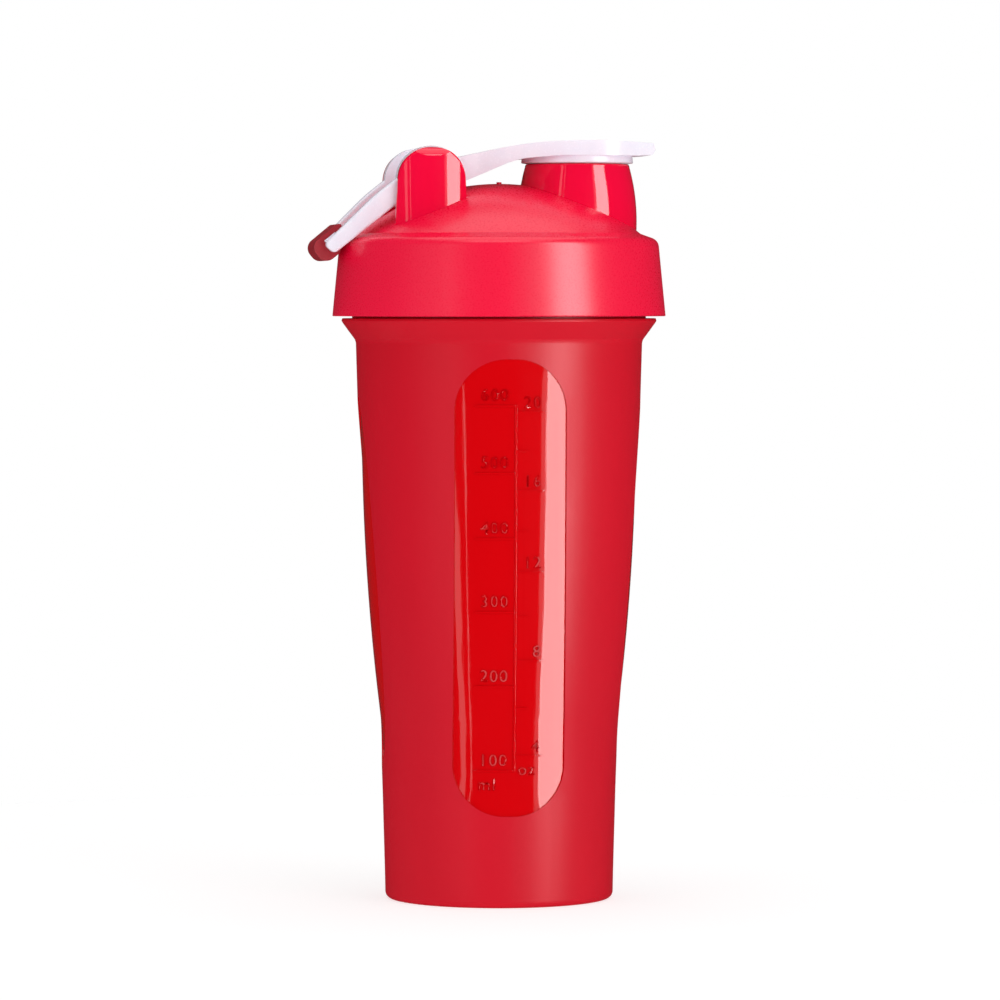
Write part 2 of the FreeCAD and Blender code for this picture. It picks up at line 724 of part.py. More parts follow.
def makeLoop():
    """Loop and grip lie along -X from the hinge line and are then turned down by the dip."""
    legSide = padded("LegSide", "XZ_Plane", [
        ("legTipBack - loopReach", "legOffset + edgeRound", "legTipRound"),
        ("0", "legOffset"),
        ("0", "legTop"),
        ("0 - legArchRun", "legTop + legArch", "legArchRound"),
        ("0 - loopReach", "legTop - legTipDrop", "legTipRound"),
    ], "0 - earInner", "2 * earInner")
    limbs = []
    for side, sign in (("Near", "0 - "), ("Far", "")):
        corners = [
            ("0 - loopReach - spare", sign + "(eyeOuter - legTaper - legPinch * spare)"),
            ("0 - loopReach - spare", sign + "(eyeInner - legTaper - legPinch * spare)"),
            ("0 - legRoot", sign + "eyeInner", "legBend"),
            ("0", sign + "eyeInner"),
            ("0", sign + "eyeOuter"),
            ("0 - legRoot", sign + "eyeOuter", "legBend"),
        ]
        if side == "Near":
            corners.reverse()
        plan = padded(side + "LegPlan", "XY_Plane", corners, "legOffset - spare", "legThick + 3 * spare")
        leg = common(side + "Leg", legSide, plan)
        limbs.append(filleted(side + "LegRounded", leg, "legRound", lambda edge: edge.CenterOfMass.x < -1))
        start = "eyeInner" if side == "Near" else "0 - eyeOuter"
        half = padded(side + "Eye", "XZ_Plane", [
            ("0 - eyeChord", "sqrt(eyeRadius ^ 2 - eyeChord ^ 2)", None, "eyeRadius"),
            ("0 - eyeChord", "0 - sqrt(eyeRadius ^ 2 - eyeChord ^ 2)"),
        ], start, "legWidth")
        limbs.append(place(half, axis=(0, 1, 0), turn="eyeTurn"))
        top = "0 - eyeInner" if side == "Near" else "eyeOuter"
        limbs.append(cylinder(side + "EyeCore", "eyeCore", "legWidth", (0, -1, 0), along=top))
    bar = padded("CrossBar", "XZ_Plane", [
        ("0 - barEnd", "barMiddle - barThick / 2"),
        ("barThick - barEnd", "barMiddle - barThick / 2"),
        ("barThick - barEnd", "barMiddle + barThick / 2"),
        ("0 - barEnd", "barMiddle + barThick / 2"),
    ], "0 - gripHalf - barTenon", "2 * (gripHalf + barTenon)")
    frame = fused("LoopFrame", limbs + [bar])
    hole = cylinder("LoopPinHole", "pinHole", "2 * earInner", (0, -1, 0), along="earInner")
    node("carry_loop", lean(cut("LoopDrilled", frame, hole)))

    section = padded("GripSection", "XZ_Plane", [
        ("0 - gripEnd", "gripLow", "gripRound"),
        ("gripLength / 2 - gripEnd", "gripLow", "gripBelly"),
        ("0 - gripStart", "gripLow + gripSlope", "gripNose"),
        ("0 - gripStart", "gripTop", "gripNose"),
        ("0 - gripEnd", "gripTop", "gripRound"),
    ], "0 - eyeInner", "2 * eyeInner")
    plan = padded("GripPlan", "XY_Plane", [
        ("0 - gripEnd - spare", "0 - gripHalf", "gripEndRound"),
        ("0 - loopReach", "0 - gripHalf"),
        ("spare - gripStart", "0 - gripWide"),
        ("spare - gripStart", "gripWide"),
        ("0 - loopReach", "gripHalf"),
        ("0 - gripEnd - spare", "gripHalf", "gripEndRound"),
    ], "gripLow - spare", "gripThick + 2 * spare")
    node("loop_grip", lean(cut("GripBody", common("GripSolid", section, plan), bar)))


def lean(thing):
    """Moves a piece from the loop's own axes to the hinge line and lets it down to rest."""
    return place(thing, "0 - pivotBack", "0", "pivotHeight", (0, 1, 0), "0 - loopDip")


def makeBall():
    """Whisk ball: one wire wound from pole to pole. Each half turn is a flat half circle between two
    points of the XZ plane, and the wire crosses that plane square on, so the half turns run smoothly on."""
    radius = size("ballWireRadius")
    halfTurns = int(2 * size("ballTurns"))
    pole = math.radians(size("ballPole"))
    arcs = []
    ends = []
    for step in range(halfTurns + 1):
        polar = pole + (math.pi - 2 * pole) * step / halfTurns
        side = 1 if step % 2 == 0 else -1
        ends.append(FreeCAD.Vector(side * radius * math.sin(polar), 0, -radius * math.cos(polar)))
    for step in range(halfTurns):
        middle = (ends[step] + ends[step + 1]) * 0.5
        bulge = FreeCAD.Vector(0, 1 if step % 2 == 0 else -1, 0) * ((ends[step + 1] - ends[step]).Length / 2)
        arcs.append(Part.Arc(ends[step], middle + bulge, ends[step + 1]).toShape())
    path = Part.Wire(arcs)
    section = Part.Circle(ends[0], FreeCAD.Vector(0, 1, 0), size("ballWire") / 2)
    ball = doc.addObject("Part::Feature", "WhiskBall")
    ball.Shape = path.makePipeShell([Part.Wire(section.toShape())], True, True)
    place(ball, up="ballMiddle")
    node("whisk_ball", ball)


makeCup()
makeLid()
makeSeals()
makeCap()
makePin()
makeLoop()
makeBall()
doc.recompute()

for thing in doc.Objects:
    if "Invalid" in thing.State or "Error" in thing.State:
        raise RuntimeError("%s failed: %s" % (thing.Name, thing.State))
for thing in nodes:
    if thing.Shape.isNull() or not thing.Shape.isValid():
        raise RuntimeError(thing.Label + " is not a valid shape")
for thing in nodes:
    thing.Shape.exportStep("parts/" + thing.Label + ".step")
    print(thing.Label, len(thing.Shape.Solids), round(thing.Shape.Volume / 1000, 2), "cm3")
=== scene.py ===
import math
import bpy
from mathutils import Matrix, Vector


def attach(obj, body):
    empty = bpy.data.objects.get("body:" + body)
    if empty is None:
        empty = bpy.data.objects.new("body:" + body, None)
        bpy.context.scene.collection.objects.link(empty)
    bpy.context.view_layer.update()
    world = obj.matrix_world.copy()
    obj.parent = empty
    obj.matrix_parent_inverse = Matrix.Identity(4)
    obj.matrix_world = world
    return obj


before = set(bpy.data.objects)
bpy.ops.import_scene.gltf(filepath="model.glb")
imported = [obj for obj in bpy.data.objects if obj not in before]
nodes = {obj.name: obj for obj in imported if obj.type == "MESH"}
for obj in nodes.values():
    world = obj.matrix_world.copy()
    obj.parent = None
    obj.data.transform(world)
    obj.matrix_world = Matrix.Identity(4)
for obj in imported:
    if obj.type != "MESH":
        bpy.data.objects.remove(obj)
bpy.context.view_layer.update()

mm = 0.001
print("frame loaded:", sorted(nodes))


# helpers

def toLinear(hexColour):
    channels = [int(hexColour[i:i + 2], 16) / 255 for i in (0, 2, 4)]
    return [c / 12.92 if c <= 0.04045 else ((c + 0.055) / 1.055) ** 2.4 for c in channels] + [1.0]


def addNode(tree, kind, settings=None, inputs=None):
    node = tree.nodes.new(kind)
    for name, value in (settings or {}).items():
        setattr(node, name, value)
    for name, value in (inputs or {}).items():
        if isinstance(value, bpy.types.NodeSocket):
            tree.links.new(value, node.inputs[name])
        else:
            node.inputs[name].default_value = value
    return node


def placeInMm(tree):
    place = addNode(tree, "ShaderNodeTexCoord")
    return addNode(tree, "ShaderNodeVectorMath", {"operation": "SCALE"},
                   {0: place.outputs["Object"], "Scale": 1 / mm})


def startMaterial(name):
    material = bpy.data.materials.new(name)
    material.use_nodes = True
    tree = material.node_tree
    tree.nodes.clear()
    shader = addNode(tree, "ShaderNodeBsdfPrincipled")
    addNode(tree, "ShaderNodeOutputMaterial", inputs={"Surface": shader.outputs[0]})
    return material, tree, shader


def deselectAll():
    if bpy.context.mode != "OBJECT":
        bpy.ops.object.mode_set(mode="OBJECT")
    bpy.ops.object.select_all(action="DESELECT")


def applyModifiers(piece):
    deselectAll()
    piece.select_set(True)
    bpy.context.view_layer.objects.active = piece
    for modifier in list(piece.modifiers):
        bpy.ops.object.modifier_apply(modifier=modifier.name)


def applyPlace(piece):
    deselectAll()
    piece.select_set(True)
    bpy.context.view_layer.objects.active = piece
    bpy.ops.object.transform_apply(location=True, rotation=True, scale=True)


def joinPieces(pieces, name):
    deselectAll()
    for piece in pieces:
        piece.select_set(True)
    bpy.context.view_layer.objects.active = pieces[0]
    if len(pieces) > 1:
        bpy.ops.object.join()
    joined = bpy.context.view_layer.objects.active
    joined.name = name
    joined.data.name = name
    return joined


def paint(piece, material):
    piece.data.materials.clear()
    piece.data.materials.append(material)


# camera: a long lens a little above the shoulder of the bottle, turned 7.5 degrees off the spout's side

camera = {
    "azimuth": -7.5,
    "distance": 1.705,
    "height": 0.178,
    "aimHeight": 0.1183,
    "aimSide": 0.0003,
    "lens": 206.7,
    "sensor": 36.0,
}


def aroundObject(azimuth, distance, height):
    turn = math.radians(azimuth)
    return Vector((distance * math.sin(turn), -distance * math.cos(turn), height))


def makeCamera():
    eye = aroundObject(camera["azimuth"], camera["distance"], camera["height"])
    right = Vector((math.cos(math.radians(camera["azimuth"])), math.sin(math.radians(camera["azimuth"])), 0))
    aim = Vector((0, 0, camera["aimHeight"])) + right * camera["aimSide"]
    bpy.ops.object.camera_add(location=eye, rotation=(aim - eye).to_track_quat("-Z", "Y").to_euler())
    lens = bpy.context.object
    lens.data.lens = camera["lens"]
    lens.data.sensor_width = camera["sensor"]
    lens.data.clip_end = 50
    bpy.context.scene.camera = lens


# studio: a tall soft box to the right and two strips to the left, which polished faces mirror, with
# softer light of their own for matte faces; one more overhead, and dim white all round

softBoxes = {
    "keyMirror": {"side": 51.5, "distance": 1.5, "width": 0.665, "tall": 2.4, "radiance": 9.0, "mirrored": True},
    "keyBloom": {"side": 37.5, "distance": 1.6, "width": 0.16, "tall": 2.4, "radiance": 1.1, "mirrored": True},
    "keySoft": {"side": 36.0, "distance": 1.5, "width": 1.0, "tall": 1.6, "radiance": 2.2, "mirrored": False},
    "leftSoft": {"side": -48.0, "distance": 1.6, "width": 1.0, "tall": 1.6, "radiance": 1.0, "mirrored": False},
    "leftMirror": {"side": -35.0, "distance": 1.8, "width": 0.16, "tall": 2.4, "radiance": 1.5, "mirrored": True},
    "thinMirror": {"side": -27.3, "distance": 1.8, "width": 0.03, "tall": 2.4, "radiance": 2.4, "mirrored": True},
}
boxHeight = 0.2
frontBox = {"rise": 56.0, "distance": 1.6, "width": 1.1, "tall": 0.35, "radiance": 4.5}
topBox = {"height": 1.5, "back": 0.1, "width": 1.3, "radiance": 1.6, "aimHeight": 0.1}
surround = {"seen": 1.0, "scattered": 0.55, "mirrored": 0.03}


def addAreaLight(name, place, aim, width, tall, radiance):
    bpy.ops.object.light_add(type="AREA", location=place)
    lamp = bpy.context.object
    lamp.name = name
    lamp.rotation_euler = (aim - place).to_track_quat("-Z", "Y").to_euler()
    lamp.data.shape = "RECTANGLE"
    lamp.data.size = width
    lamp.data.size_y = tall
    lamp.data.energy = radiance * math.pi * width * tall
    return lamp


def makeStudio():
    for name, box in softBoxes.items():
        place = aroundObject(camera["azimuth"] + box["side"], box["distance"], boxHeight)
        lamp = addAreaLight(name, place, Vector((0, 0, boxHeight)), box["width"], box["tall"], box["radiance"])
        lamp.visible_glossy = box["mirrored"]
        lamp.visible_diffuse = not box["mirrored"]
    rise = math.radians(frontBox["rise"])
    place = aroundObject(camera["azimuth"], frontBox["distance"] * math.cos(rise),
                         boxHeight + frontBox["distance"] * math.sin(rise))
    lamp = addAreaLight("frontBox", place, Vector((0, 0, boxHeight)), frontBox["width"], frontBox["tall"],
                        frontBox["radiance"])
    lamp.visible_diffuse = False
    place = -aroundObject(camera["azimuth"], topBox["back"], 0) + Vector((0, 0, topBox["height"]))
    addAreaLight("topBox", place, Vector((0, 0, topBox["aimHeight"])), topBox["width"], topBox["width"],
                 topBox["radiance"])

    world = bpy.data.worlds.new("studioWhite")
    bpy.context.scene.world = world
    world.use_nodes = True
    tree = world.node_tree
    tree.nodes.clear()
    seen, scattered, mirrored = [
        addNode(tree, "ShaderNodeBackground", inputs={"Color": (1, 1, 1, 1), "Strength": surround[part]})
        for part in ("seen", "scattered", "mirrored")
    ]
    path = addNode(tree, "ShaderNodeLightPath")
    unseen = addNode(tree, "ShaderNodeMixShader", inputs={
        0: path.outputs["Is Diffuse Ray"], 1: mirrored.outputs[0], 2: scattered.outputs[0]})
    mix = addNode(tree, "ShaderNodeMixShader", inputs={
        0: path.outputs["Is Camera Ray"], 1: unseen.outputs[0], 2: seen.outputs[0]})
    addNode(tree, "ShaderNodeOutputWorld", inputs={"Surface": mix.outputs[0]})
    bpy.context.scene.view_settings.view_transform = "Standard"
    bpy.context.scene.view_settings.look = "None"


# floor: a lit white acrylic sheet, so that it meets the white behind it and keeps only a contact shadow

floorFinish = {"radius": 0.36, "colour": "a6a6a6", "glow": 0.69, "roughness": 0.7, "frostScale": 600.0}


def makeFloor():
    deselectAll()
    bpy.ops.mesh.primitive_circle_add(vertices=96, radius=floorFinish["radius"], fill_type="NGON", location=(0, 0, 0))
    floor = bpy.context.object
    floor.name = "floor"
    material, tree, shader = startMaterial("frostedAcrylicSheet")
    place = addNode(tree, "ShaderNodeTexCoord")
    frost = addNode(tree, "ShaderNodeTexNoise", inputs={"Vector": place.outputs["Object"],
                                                        "Scale": floorFinish["frostScale"]})
    bump = addNode(tree, "ShaderNodeBump", inputs={"Height": frost.outputs[0], "Strength": 0.05, "Distance": 0.0002})
    tree.links.new(bump.outputs[0], shader.inputs["Normal"])
    shader.inputs["Base Color"].default_value = toLinear(floorFinish["colour"])
    shader.inputs["Roughness"].default_value = floorFinish["roughness"]
    shader.inputs["Emission Color"].default_value = (1, 1, 1, 1)
    shader.inputs["Emission Strength"].default_value = floorFinish["glow"]
    paint(floor, material)
    floor.visible_glossy = False


makeCamera()
makeStudio()
makeFloor()
print("camera, studio and floor done")


# refractive index of polypropylene
plasticIndex = 1.49


# cup: injection moulded polypropylene, spark-eroded outside and polished in the window and side grips

cupFinish = {
    # colour and deepColour hold the red with a painted sheen (extra blue) for the frosted faces; windowColour is the
    # clear red without it
    "colour": "d20020",
    "deepColour": "c4001c",
    "windowColour": "d20008",
    "matteRoughness": 0.36,
    "matteSheen": 0.24,
    "polishedRoughness": 0.06,
    "grainMm": 0.45,
    "clocking": -2.5,
    "windowHalf": 16.4,
    "windowLow": 27.0,
    "windowTop": 160.5,
    "windowRound": 15.0,
    "gripMiddle": 94.0,
    "gripHalfHeight": 55.5,
    "gripHalfWidth": 14.2,
}


def makeCupPlastic():
    # polypropylene scatters a little light inside, so the red stays deep in the shade and glows near edges; this
    # material sets no subsurface scattering for it
    material, tree, shader = startMaterial("polypropyleneCupRed")
    finish = cupFinish
    place = addNode(tree, "ShaderNodeTexCoord")
    turned = addNode(tree, "ShaderNodeMapping", {"vector_type": "TEXTURE"}, {
        "Vector": place.outputs["Object"],
        "Rotation": (0, 0, math.radians(finish["clocking"])),
        "Scale": (mm, mm, mm),
    })
    apart = addNode(tree, "ShaderNodeSeparateXYZ", inputs={0: turned.outputs[0]})

    # polished window: a rounded oblong on the -Y side
    middle = (finish["windowLow"] + finish["windowTop"]) / 2
    straightHalf = (finish["windowTop"] - finish["windowLow"]) / 2 - finish["windowRound"]
    fromMiddle = addNode(tree, "ShaderNodeVectorMath", {"operation": "SUBTRACT"},
                         {0: turned.outputs[0], 1: (0, 0, middle)})
    folded = addNode(tree, "ShaderNodeVectorMath", {"operation": "ABSOLUTE"}, {0: fromMiddle.outputs[0]})
    corner = addNode(tree, "ShaderNodeVectorMath", {"operation": "SUBTRACT"},
                     {0: folded.outputs[0], 1: (finish["windowHalf"] - finish["windowRound"], 1000, straightHalf)})
    outside = addNode(tree, "ShaderNodeVectorMath", {"operation": "MAXIMUM"}, {0: corner.outputs[0], 1: (0, 0, 0)})
    reach = addNode(tree, "ShaderNodeVectorMath", {"operation": "LENGTH"}, {0: outside.outputs[0]})
    inWindow = addNode(tree, "ShaderNodeMapRange", inputs={
        "Value": reach.outputs["Value"],
        "From Min": finish["windowRound"] + 0.05,
        "From Max": finish["windowRound"] - 0.05,
    })
    front = addNode(tree, "ShaderNodeMath", {"operation": "LESS_THAN"}, {0: apart.outputs["Y"], 1: 0.0})
    window = addNode(tree, "ShaderNodeMath", {"operation": "MULTIPLY"}, {0: inWindow.outputs[0], 1: front.outputs[0]})

    # polished side grips: an ellipse on each side
    toGrip = addNode(tree, "ShaderNodeVectorMath", {"operation": "SUBTRACT"},
                     {0: turned.outputs[0], 1: (0, 0, finish["gripMiddle"])})
    squeezed = addNode(tree, "ShaderNodeVectorMath", {"operation": "DIVIDE"},
                       {0: toGrip.outputs[0], 1: (1e6, finish["gripHalfWidth"], finish["gripHalfHeight"])})
    share = addNode(tree, "ShaderNodeVectorMath", {"operation": "LENGTH"}, {0: squeezed.outputs[0]})
    grips = addNode(tree, "ShaderNodeMapRange", inputs={"Value": share.outputs["Value"], "From Min": 1.004,
                                                        "From Max": 0.996})
    polished = addNode(tree, "ShaderNodeMath", {"operation": "MAXIMUM"}, {0: window.outputs[0], 1: grips.outputs[0]})

    # pigment drifts slightly with the melt's flow up the wall
    stretched = addNode(tree, "ShaderNodeVectorMath", {"operation": "MULTIPLY"},
                        {0: turned.outputs[0], 1: (1 / 28, 1 / 28, 1 / 90)})
    flow = addNode(tree, "ShaderNodeTexNoise", inputs={"Vector": stretched.outputs[0], "Scale": 1.0, "Detail": 4.0})
    drift = addNode(tree, "ShaderNodeMapRange", inputs={"Value": flow.outputs[0], "From Min": 0.3, "From Max": 0.7,
                                                        "To Min": 0.0, "To Max": 0.45})
    colour = addNode(tree, "ShaderNodeMix", {"data_type": "RGBA"}, {
        0: drift.outputs[0],
        6: toLinear(finish["colour"]),
        7: toLinear(finish["deepColour"]),
    })

    # painted sheen: the frosted faces take a bluer red that stands in for the pale sheen of their rough skin, the
    # polished faces a clearer, deeper red
    paintedSheenOrClear = addNode(tree, "ShaderNodeMix", {"data_type": "RGBA"}, {
        0: polished.outputs[0],
        6: colour.outputs[2],
        7: toLinear(finish["windowColour"]),
    })

    # spark-eroded grain, finer than it can show, so it is drawn at about half a millimetre
    grain = addNode(tree, "ShaderNodeTexNoise", inputs={"Vector": turned.outputs[0],
                                                        "Scale": 1 / finish["grainMm"], "Detail": 3.0})
    mottled = addNode(tree, "ShaderNodeMapRange", inputs={
        "Value": grain.outputs[0], "From Min": 0.3, "From Max": 0.7,
        "To Min": finish["matteRoughness"] - 0.03, "To Max": finish["matteRoughness"] + 0.04,
    })
    roughness = addNode(tree, "ShaderNodeMix", {"data_type": "FLOAT"}, {
        0: polished.outputs[0],
        2: mottled.outputs[0],
        3: finish["polishedRoughness"],
    })
    grainHeight = addNode(tree, "ShaderNodeMix", {"data_type": "FLOAT"}, {
        0: polished.outputs[0],
        2: grain.outputs[0],
        3: 0.5,
    })
    # polished faces keep faint drag lines from the mould
    fineLines = addNode(tree, "ShaderNodeVectorMath", {"operation": "MULTIPLY"},
                        {0: turned.outputs[0], 1: (1 / 1.3, 1 / 1.3, 1 / 60)})
    drag = addNode(tree, "ShaderNodeTexNoise", inputs={"Vector": fineLines.outputs[0], "Scale": 1.0, "Detail": 1.0})
    dragBump = addNode(tree, "ShaderNodeBump", inputs={"Height": drag.outputs[0], "Strength": 0.35,
                                                       "Distance": 0.00003})
    grainBump = addNode(tree, "ShaderNodeBump", inputs={"Height": grainHeight.outputs[0], "Strength": 0.5,
                                                        "Distance": 0.00006, "Normal": dragBump.outputs[0]})
    tree.links.new(paintedSheenOrClear.outputs[2], shader.inputs["Base Color"])
    tree.links.new(roughness.outputs[0], shader.inputs["Roughness"])
    tree.links.new(grainBump.outputs[0], shader.inputs["Normal"])
    gloss = addNode(tree, "ShaderNodeMapRange", inputs={
        "Value": polished.outputs[0], "To Min": finish["matteSheen"], "To Max": 0.5})
    tree.links.new(gloss.outputs[0], shader.inputs["Specular IOR Level"])
    shader.inputs["IOR"].default_value = plasticIndex
    return material


# lid: the same polypropylene in a brighter red, satin on the dome and skirt, polished on the spout and ears

lidFinish = {
    "colour": "f5083c",
    "deepColour": "ec0636",
    "satinRoughness": 0.28,
    "satinSheen": 0.42,
    "polishedRoughness": 0.06,
    "grainMm": 0.5,
    "spoutReach": 23.4,
    "spoutClear": 17.85,
    "spoutLow": 196.5,
    "pivotBack": 22.5,
    "earInner": 18.65,
    "earEdge": 20.15,
    "earBulge": 3.9,
    "earHalf": 11.4,
}


def makeLidPlastic():
    material, tree, shader = startMaterial("polypropyleneLidRed")
    finish = lidFinish
    inMm = placeInMm(tree)
    apart = addNode(tree, "ShaderNodeSeparateXYZ", inputs={0: inMm.outputs[0]})

    # polished spout: everything inside a circle round its axis, above the shoulder
    fromSpout = addNode(tree, "ShaderNodeVectorMath", {"operation": "SUBTRACT"},
                        {0: inMm.outputs[0], 1: (finish["spoutReach"], 0, 0)})
    flat = addNode(tree, "ShaderNodeVectorMath", {"operation": "MULTIPLY"}, {0: fromSpout.outputs[0], 1: (1, 1, 0)})
    reach = addNode(tree, "ShaderNodeVectorMath", {"operation": "LENGTH"}, {0: flat.outputs[0]})
    near = addNode(tree, "ShaderNodeMath", {"operation": "LESS_THAN"},
                   {0: reach.outputs["Value"], 1: finish["spoutClear"]})
    high = addNode(tree, "ShaderNodeMath", {"operation": "GREATER_THAN"},
                   {0: apart.outputs["Z"], 1: finish["spoutLow"]})
    spout = addNode(tree, "ShaderNodeMath", {"operation": "MULTIPLY"}, {0: near.outputs[0], 1: high.outputs[0]})

    # polished ears: between their inner faces and their crowned outer faces
    along = addNode(tree, "ShaderNodeMath", {"operation": "ADD"}, {0: apart.outputs["X"], 1: finish["pivotBack"]})
    part = addNode(tree, "ShaderNodeMath", {"operation": "DIVIDE"}, {0: along.outputs[0], 1: finish["earHalf"]})
    square = addNode(tree, "ShaderNodeMath", {"operation": "MULTIPLY"}, {0: part.outputs[0], 1: part.outputs[0]})
    crown = addNode(tree, "ShaderNodeMapRange", {"clamp": False}, {
        "Value": square.outputs[0],
        "To Min": finish["earEdge"] + finish["earBulge"],
        "To Max": finish["earEdge"],
    })
    aside = addNode(tree, "ShaderNodeMath", {"operation": "ABSOLUTE"}, {0: apart.outputs["Y"]})
    under = addNode(tree, "ShaderNodeMath", {"operation": "LESS_THAN"}, {0: aside.outputs[0], 1: crown.outputs[0]})
    beyond = addNode(tree, "ShaderNodeMath", {"operation": "GREATER_THAN"},
                     {0: aside.outputs[0], 1: finish["earInner"]})
    within = addNode(tree, "ShaderNodeMath", {"operation": "LESS_THAN"}, {0: square.outputs[0], 1: 1.0})
    plate = addNode(tree, "ShaderNodeMath", {"operation": "MULTIPLY"}, {0: under.outputs[0], 1: beyond.outputs[0]})
    ears = addNode(tree, "ShaderNodeMath", {"operation": "MULTIPLY"}, {0: plate.outputs[0], 1: within.outputs[0]})
    earsUp = addNode(tree, "ShaderNodeMath", {"operation": "MULTIPLY"}, {0: ears.outputs[0], 1: high.outputs[0]})
    polished = addNode(tree, "ShaderNodeMath", {"operation": "MAXIMUM"}, {0: spout.outputs[0], 1: earsUp.outputs[0]})

    flow = addNode(tree, "ShaderNodeTexNoise", inputs={"Vector": inMm.outputs[0], "Scale": 1 / 30, "Detail": 4.0})
    drift = addNode(tree, "ShaderNodeMapRange", inputs={"Value": flow.outputs[0], "From Min": 0.3, "From Max": 0.7,
                                                        "To Min": 0.0, "To Max": 0.5})
    colour = addNode(tree, "ShaderNodeMix", {"data_type": "RGBA"}, {
        0: drift.outputs[0],
        6: toLinear(finish["colour"]),
        7: toLinear(finish["deepColour"]),
    })
    # satin grain of a blasted mould, drawn at half a millimetre so that it shows
    grain = addNode(tree, "ShaderNodeTexNoise", inputs={"Vector": inMm.outputs[0],
                                                        "Scale": 1 / finish["grainMm"], "Detail": 2.0})
    mottled = addNode(tree, "ShaderNodeMapRange", inputs={
        "Value": grain.outputs[0], "From Min": 0.3, "From Max": 0.7,
        "To Min": finish["satinRoughness"] - 0.015, "To Max": finish["satinRoughness"] + 0.015,
    })
    roughness = addNode(tree, "ShaderNodeMix", {"data_type": "FLOAT"}, {
        0: polished.outputs[0],
        2: mottled.outputs[0],
        3: finish["polishedRoughness"],
    })
    grainHeight = addNode(tree, "ShaderNodeMix", {"data_type": "FLOAT"}, {
        0: polished.outputs[0],
        2: grain.outputs[0],
        3: 0.5,
    })
    bump = addNode(tree, "ShaderNodeBump", inputs={"Height": grainHeight.outputs[0], "Strength": 0.1,
                                                   "Distance": 0.00002})
    tree.links.new(colour.outputs[2], shader.inputs["Base Color"])
    tree.links.new(roughness.outputs[0], shader.inputs["Roughness"])
    tree.links.new(bump.outputs[0], shader.inputs["Normal"])
    gloss = addNode(tree, "ShaderNodeMapRange", inputs={
        "Value": polished.outputs[0], "To Min": finish["satinSheen"], "To Max": 0.5})
    tree.links.new(gloss.outputs[0], shader.inputs["Specular IOR Level"])
    shader.inputs["IOR"].default_value = plasticIndex
    return material


# white polypropylene of the flip cap and loop: cool white, a soft gloss with a slightly uneven skin

whiteFinish = {"colour": "f4effb", "shadeColour": "eae5f5", "roughness": 0.24, "waveMm": 7.0}


def makeWhitePlastic():
    material, tree, shader = startMaterial("polypropyleneWhite")
    inMm = placeInMm(tree)
    wave = addNode(tree, "ShaderNodeTexNoise", inputs={"Vector": inMm.outputs[0],
                                                       "Scale": 1 / whiteFinish["waveMm"], "Detail": 3.0})
    tint = addNode(tree, "ShaderNodeMapRange", inputs={"Value": wave.outputs[0], "From Min": 0.35, "From Max": 0.7,
                                                       "To Min": 0.0, "To Max": 0.6})
    colour = addNode(tree, "ShaderNodeMix", {"data_type": "RGBA"}, {
        0: tint.outputs[0],
        6: toLinear(whiteFinish["colour"]),
        7: toLinear(whiteFinish["shadeColour"]),
    })
    fine = addNode(tree, "ShaderNodeTexNoise", inputs={"Vector": inMm.outputs[0], "Scale": 1.6, "Detail": 2.0})
    roughness = addNode(tree, "ShaderNodeMapRange", inputs={
        "Value": fine.outputs[0], "From Min": 0.3, "From Max": 0.7,
        "To Min": whiteFinish["roughness"] - 0.03, "To Max": whiteFinish["roughness"] + 0.05,
    })
    bump = addNode(tree, "ShaderNodeBump", inputs={"Height": wave.outputs[0], "Strength": 0.25, "Distance": 0.0002})
    tree.links.new(colour.outputs[2], shader.inputs["Base Color"])
    tree.links.new(roughness.outputs[0], shader.inputs["Roughness"])
    tree.links.new(bump.outputs[0], shader.inputs["Normal"])
    shader.inputs["IOR"].default_value = plasticIndex
    shader.inputs["Subsurface Weight"].default_value = 0.2
    shader.inputs["Subsurface Radius"].default_value = (0.004, 0.003, 0.003)
    shader.inputs["Subsurface Scale"].default_value = 1.0
    return material


# soft-touch elastomer of the grip: dull darker red with a fine pebble

gripFinish = {"colour": "b60a24", "duskColour": "9c0a1e", "roughness": 0.5, "pebbleMm": 0.6}


def makeGripRubber():
    material, tree, shader = startMaterial("elastomerGripRed")
    inMm = placeInMm(tree)
    pebble = addNode(tree, "ShaderNodeTexVoronoi", {"feature": "SMOOTH_F1"},
                     {"Vector": inMm.outputs[0], "Scale": 1 / gripFinish["pebbleMm"]})
    dust = addNode(tree, "ShaderNodeTexNoise", inputs={"Vector": inMm.outputs[0], "Scale": 0.35, "Detail": 5.0})
    colour = addNode(tree, "ShaderNodeMix", {"data_type": "RGBA"}, {
        0: dust.outputs[0],
        6: toLinear(gripFinish["colour"]),
        7: toLinear(gripFinish["duskColour"]),
    })
    bump = addNode(tree, "ShaderNodeBump", inputs={"Height": pebble.outputs[0], "Strength": 0.35,
                                                   "Distance": 0.00008})
    tree.links.new(colour.outputs[2], shader.inputs["Base Color"])
    tree.links.new(bump.outputs[0], shader.inputs["Normal"])
    shader.inputs["Roughness"].default_value = gripFinish["roughness"]
    shader.inputs["IOR"].default_value = 1.5
    return material


# seals: milky silicone, cloudy inside and a little tacky, so it holds dust

siliconeFinish = {"colour": "dfe0e4", "cloudColour": "cfd1d8", "roughness": 0.4}


